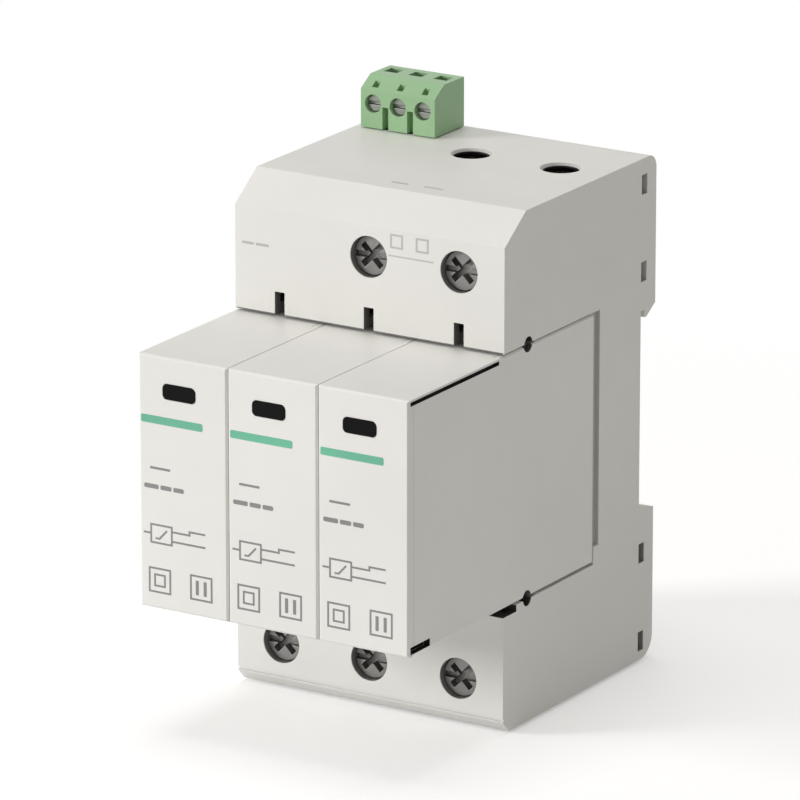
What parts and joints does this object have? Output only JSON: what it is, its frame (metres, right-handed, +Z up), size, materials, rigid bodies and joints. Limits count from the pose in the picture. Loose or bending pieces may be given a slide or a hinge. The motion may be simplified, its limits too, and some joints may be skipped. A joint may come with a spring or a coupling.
{
  "type": "din rail surge arrester",
  "caption": "Plug-in surge arrester for a mounting rail: U-shaped base with screw terminals, removable cartridges with status windows and a green remote signal plug.",
  "frame": {"origin": "middle of the rail seat, on the rail's centre line", "axes": "+X across the poles to the right seen from the front, +Y to the rear into the rail, +Z up"},
  "size_m": [0.054, 0.0817, 0.1011],
  "materials": {
    "housing_plastic": "fine moulded texture",
    "cover_plastic": "fine moulded texture",
    "clip_plastic": "moulded",
    "contact_copper": "bare copper",
    "screw_steel": "dark zinc",
    "cage_steel": "zinc",
    "header_plastic": "moulded",
    "board_laminate": "lacquered",
    "switch_plastic": "moulded",
    "plunger_plastic": "moulded",
    "bar_plastic": "moulded",
    "plug_plastic": "satin",
    "plug_metal": "tinned",
    "cartridge_plastic": "fine moulded texture",
    "lens_plastic": "polished",
    "blade_metal": "tinned",
    "varistor_ceramic": "coated",
    "arm_brass": "bare brass",
    "spring_steel": "bright",
    "flag_plastic": "moulded"
  },
  "bodies": {
    "base": {"base_housing": "housing_plastic", "rear_cover": "cover_plastic", "upper_contact_1": "contact_copper", "upper_contact_2": "contact_copper", "upper_contact_3": "contact_copper", "lower_contact_1": "contact_copper", "lower_contact_2": "contact_copper", "lower_contact_3": "contact_copper", "signal_header": "header_plastic", "signal_board": "board_laminate", "microswitch": "switch_plastic"},
    "clip": {"rail_clip": "clip_plastic"},
    "signal_slider": {"signal_bar": "bar_plastic"},
    "plunger": {"switch_plunger": "plunger_plastic"},
    "plug": {"plug_body": "plug_plastic", "plug_contacts": "plug_metal"},
    "upper_screw_2": {"upper_screw_2": "screw_steel"},
    "upper_cage_2": {"upper_cage_2": "cage_steel"},
    "upper_screw_3": {"upper_screw_3": "screw_steel"},
    "upper_cage_3": {"upper_cage_3": "cage_steel"},
    "lower_screw_1": {"lower_screw_1": "screw_steel"},
    "lower_cage_1": {"lower_cage_1": "cage_steel"},
    "lower_screw_2": {"lower_screw_2": "screw_steel"},
    "lower_cage_2": {"lower_cage_2": "cage_steel"},
    "lower_screw_3": {"lower_screw_3": "screw_steel"},
    "lower_cage_3": {"lower_cage_3": "cage_steel"},
    "plug_screw_1": {"plug_screw_1": "plug_metal"},
    "plug_clamp_1": {"plug_clamp_1": "plug_metal"},
    "plug_screw_2": {"plug_screw_2": "plug_metal"},
    "plug_clamp_2": {"plug_clamp_2": "plug_metal"},
    "plug_screw_3": {"plug_screw_3": "plug_metal"},
    "plug_clamp_3": {"plug_clamp_3": "plug_metal"},
    "cartridge_1": {"cartridge_case_1": "cartridge_plastic", "cartridge_lid_1": "cartridge_plastic", "status_lens_1": "lens_plastic", "upper_blade_1": "blade_metal", "lower_blade_1": "blade_metal", "varistor_1": "varistor_ceramic", "disconnect_spring_1": "spring_steel"},
    "arm_1": {"disconnect_arm_1": "arm_brass"},
    "flag_1": {"status_flag_1": "flag_plastic"},
    "cartridge_2": {"cartridge_case_2": "cartridge_plastic", "cartridge_lid_2": "cartridge_plastic", "status_lens_2": "lens_plastic", "upper_blade_2": "blade_metal", "lower_blade_2": "blade_metal", "varistor_2": "varistor_ceramic", "disconnect_spring_2": "spring_steel"},
    "arm_2": {"disconnect_arm_2": "arm_brass"},
    "flag_2": {"status_flag_2": "flag_plastic"},
    "cartridge_3": {"cartridge_case_3": "cartridge_plastic", "cartridge_lid_3": "cartridge_plastic", "status_lens_3": "lens_plastic", "upper_blade_3": "blade_metal", "lower_blade_3": "blade_metal", "varistor_3": "varistor_ceramic", "disconnect_spring_3": "spring_steel"},
    "arm_3": {"disconnect_arm_3": "arm_brass"},
    "flag_3": {"status_flag_3": "flag_plastic"}
  },
  "joints": [
    {"name": "clip_slide", "type": "slide", "parent": "base", "child": "clip", "axis": [0, 0, -1], "range_m": [0, 0.004], "stiffness_N_per_m": 300},
    {"name": "signal_lift", "type": "slide", "parent": "base", "child": "signal_slider", "axis": [0, 0, 1], "range_m": [0, 0.0012]},
    {"name": "plunger_press", "type": "slide", "parent": "base", "child": "plunger", "axis": [0, 0, 1], "range_m": [0, 0.0012]},
    {"name": "upper_screw_2_turn", "type": "hinge", "parent": "base", "child": "upper_screw_2", "pos_m": [0, -0.03, 0.0345], "axis": [0, 1, 0], "range_deg": [0, 2475.5]},
    {"name": "upper_cage_2_lift", "type": "slide", "parent": "base", "child": "upper_cage_2", "axis": [0, -1, 0], "range_m": [0, 0.0055]},
    {"name": "upper_screw_3_turn", "type": "hinge", "parent": "base", "child": "upper_screw_3", "pos_m": [0.018, -0.03, 0.0345], "axis": [0, 1, 0], "range_deg": [0, 2475.5]},
    {"name": "upper_cage_3_lift", "type": "slide", "parent": "base", "child": "upper_cage_3", "axis": [0, -1, 0], "range_m": [0, 0.0055]},
    {"name": "lower_screw_1_turn", "type": "hinge", "parent": "base", "child": "lower_screw_1", "pos_m": [-0.018, -0.03, -0.038], "axis": [0, 1, 0], "range_deg": [0, 2475.5]},
    {"name": "lower_cage_1_lift", "type": "slide", "parent": "base", "child": "lower_cage_1", "axis": [0, -1, 0], "range_m": [0, 0.0055]},
    {"name": "lower_screw_2_turn", "type": "hinge", "parent": "base", "child": "lower_screw_2", "pos_m": [0, -0.03, -0.038], "axis": [0, 1, 0], "range_deg": [0, 2475.5]},
    {"name": "lower_cage_2_lift", "type": "slide", "parent": "base", "child": "lower_cage_2", "axis": [0, -1, 0], "range_m": [0, 0.0055]},
    {"name": "lower_screw_3_turn", "type": "hinge", "parent": "base", "child": "lower_screw_3", "pos_m": [0.018, -0.03, -0.038], "axis": [0, 1, 0], "range_deg": [0, 2475.5]},
    {"name": "lower_cage_3_lift", "type": "slide", "parent": "base", "child": "lower_cage_3", "axis": [0, -1, 0], "range_m": [0, 0.0055]},
    {"name": "plug_pull", "type": "slide", "parent": "base", "child": "plug", "axis": [0, 0, 1], "range_m": [0, 0.012]},
    {"name": "plug_screw_1_turn", "type": "hinge", "parent": "plug", "child": "plug_screw_1", "pos_m": [-0.02308, -0.0056, 0.0496], "axis": [0, 1, 0], "range_deg": [0, 800.5]},
    {"name": "plug_clamp_1_lift", "type": "slide", "parent": "plug", "child": "plug_clamp_1", "axis": [0, -1, 0], "range_m": [0, 0.001]},
    {"name": "plug_screw_2_turn", "type": "hinge", "parent": "plug", "child": "plug_screw_2", "pos_m": [-0.018, -0.0056, 0.0496], "axis": [0, 1, 0], "range_deg": [0, 800.5]},
    {"name": "plug_clamp_2_lift", "type": "slide", "parent": "plug", "child": "plug_clamp_2", "axis": [0, -1, 0], "range_m": [0, 0.001]},
    {"name": "plug_screw_3_turn", "type": "hinge", "parent": "plug", "child": "plug_screw_3", "pos_m": [-0.01292, -0.0056, 0.0496], "axis": [0, 1, 0], "range_deg": [0, 800.5]},
    {"name": "plug_clamp_3_lift", "type": "slide", "parent": "plug", "child": "plug_clamp_3", "axis": [0, -1, 0], "range_m": [0, 0.001]},
    {"name": "cartridge_1_pull", "type": "slide", "parent": "base", "child": "cartridge_1", "axis": [0, -1, 0], "range_m": [0, 0.045]},
    {"name": "arm_1_trip", "type": "hinge", "parent": "cartridge_1", "child": "arm_1", "pos_m": [-0.01582, -0.0245, 0.007], "axis": [-1, 0, 0], "range_deg": [0, 20]},
    {"name": "flag_1_lift", "type": "slide", "parent": "cartridge_1", "child": "flag_1", "axis": [0, 0, 1], "range_m": [0, 0.003]},
    {"name": "cartridge_2_pull", "type": "slide", "parent": "base", "child": "cartridge_2", "axis": [0, -1, 0], "range_m": [0, 0.045]},
    {"name": "arm_2_trip", "type": "hinge", "parent": "cartridge_2", "child": "arm_2", "pos_m": [0.00217, -0.0245, 0.007], "axis": [-1, 0, 0], "range_deg": [0, 20]},
    {"name": "flag_2_lift", "type": "slide", "parent": "cartridge_2", "child": "flag_2", "axis": [0, 0, 1], "range_m": [0, 0.003]},
    {"name": "cartridge_3_pull", "type": "slide", "parent": "base", "child": "cartridge_3", "axis": [0, -1, 0], "range_m": [0, 0.045]},
    {"name": "arm_3_trip", "type": "hinge", "parent": "cartridge_3", "child": "arm_3", "pos_m": [0.02017, -0.0245, 0.007], "axis": [-1, 0, 0], "range_deg": [0, 20]},
    {"name": "flag_3_lift", "type": "slide", "parent": "cartridge_3", "child": "flag_3", "axis": [0, 0, 1], "range_m": [0, 0.003]}
  ],
  "couplings": [
    {"joint": "plunger_press", "follows": "signal_lift", "ratio": 1},
    {"joint": "upper_screw_2_turn", "follows": "upper_cage_2_lift", "rad_per_m": 7854},
    {"joint": "upper_screw_3_turn", "follows": "upper_cage_3_lift", "rad_per_m": 7854},
    {"joint": "lower_screw_1_turn", "follows": "lower_cage_1_lift", "rad_per_m": 7854},
    {"joint": "lower_screw_2_turn", "follows": "lower_cage_2_lift", "rad_per_m": 7854},
    {"joint": "lower_screw_3_turn", "follows": "lower_cage_3_lift", "rad_per_m": 7854},
    {"joint": "plug_screw_1_turn", "follows": "plug_clamp_1_lift", "rad_per_m": 13963},
    {"joint": "plug_screw_2_turn", "follows": "plug_clamp_2_lift", "rad_per_m": 13963},
    {"joint": "plug_screw_3_turn", "follows": "plug_clamp_3_lift", "rad_per_m": 13963},
    {"joint": "flag_1_lift", "follows": "arm_1_trip", "m_per_rad": 0.008594},
    {"joint": "flag_2_lift", "follows": "arm_2_trip", "m_per_rad": 0.008594},
    {"joint": "flag_3_lift", "follows": "arm_3_trip", "m_per_rad": 0.008594}
  ]
}
